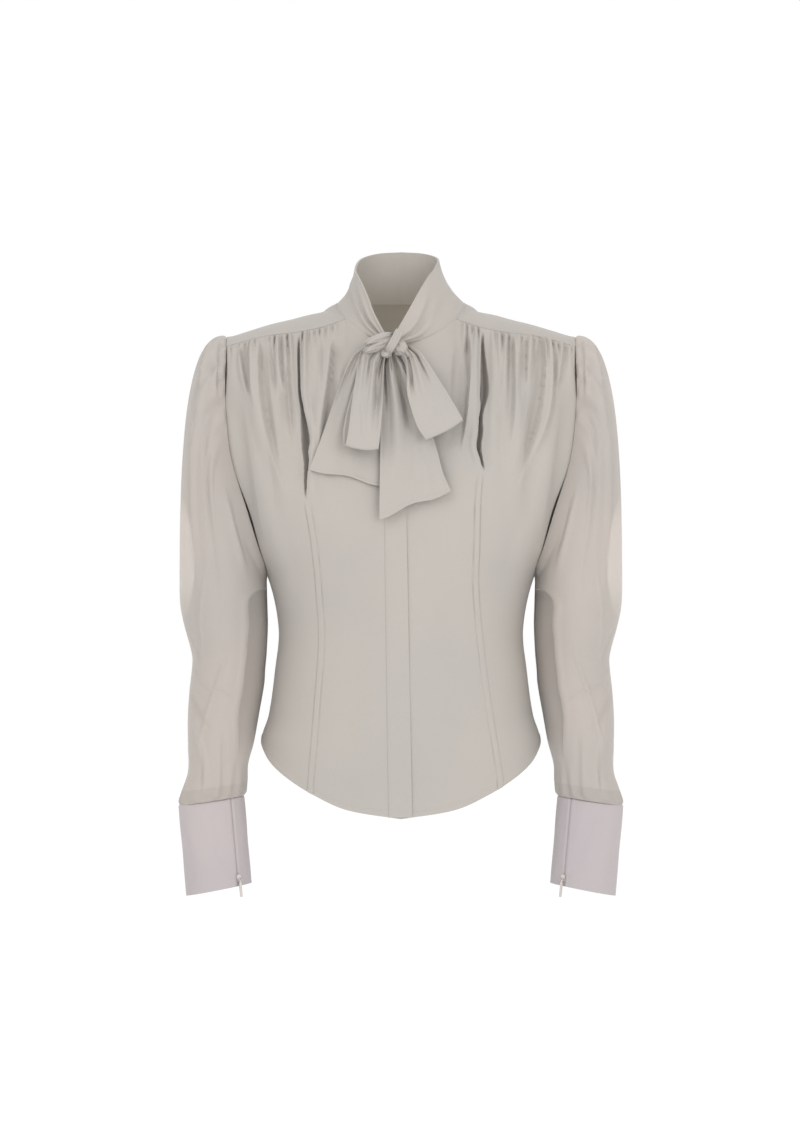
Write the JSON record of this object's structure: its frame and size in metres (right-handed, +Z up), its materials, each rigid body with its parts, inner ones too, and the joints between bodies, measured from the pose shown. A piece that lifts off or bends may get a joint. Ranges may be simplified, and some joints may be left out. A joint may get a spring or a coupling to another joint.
{
  "type": "pussy-bow blouse",
  "caption": "Women's blouse in pale greige georgette with a pussy bow, gathered yoke, puffed sheer sleeves and deep zipped cuffs, filled out as worn.",
  "frame": {"origin": "midway between the two points where the shoulders meet the neck, where the wearer carries the blouse", "axes": "+Z up towards the collar, -Y the front, +X the wearer's left"},
  "size_m": [0.496, 0.2467, 0.7218],
  "materials": {
    "georgette": "matte crepe georgette, pale greige",
    "chiffon": "matte semi-sheer chiffon, pale greige",
    "satin": "smooth doubled cloth, faintly lilac greige",
    "zip_metal": "lacquered to match the cloth"
  },
  "bodies": {
    "garment": {"yoke": "georgette", "collar": "georgette", "back": "georgette", "placket": "georgette", "tie_knot": "georgette", "front_right": "georgette", "sleeve_right": "chiffon", "cuff_right": "satin", "tie_tail_right": "georgette", "tie_loop_right": "georgette", "zip_slider_right": "zip_metal", "front_left": "georgette", "sleeve_left": "chiffon", "cuff_left": "satin", "tie_tail_left": "georgette", "tie_loop_left": "georgette", "zip_slider_left": "zip_metal"},
    "tab_right": {"zip_tab_right": "zip_metal"},
    "tab_left": {"zip_tab_left": "zip_metal"}
  },
  "joints": [
    {"name": "zip_tab_right_hinge", "type": "hinge", "parent": "garment", "child": "tab_right", "pos_m": [-0.17874, -0.05247, -0.63291], "axis": [-0.8389, -0.5419, -0.0517], "range_deg": [0, 150]},
    {"name": "zip_tab_left_hinge", "type": "hinge", "parent": "garment", "child": "tab_left", "pos_m": [0.17874, -0.05247, -0.63291], "axis": [-0.8389, 0.5419, 0.0517], "range_deg": [0, 150]}
  ]
}
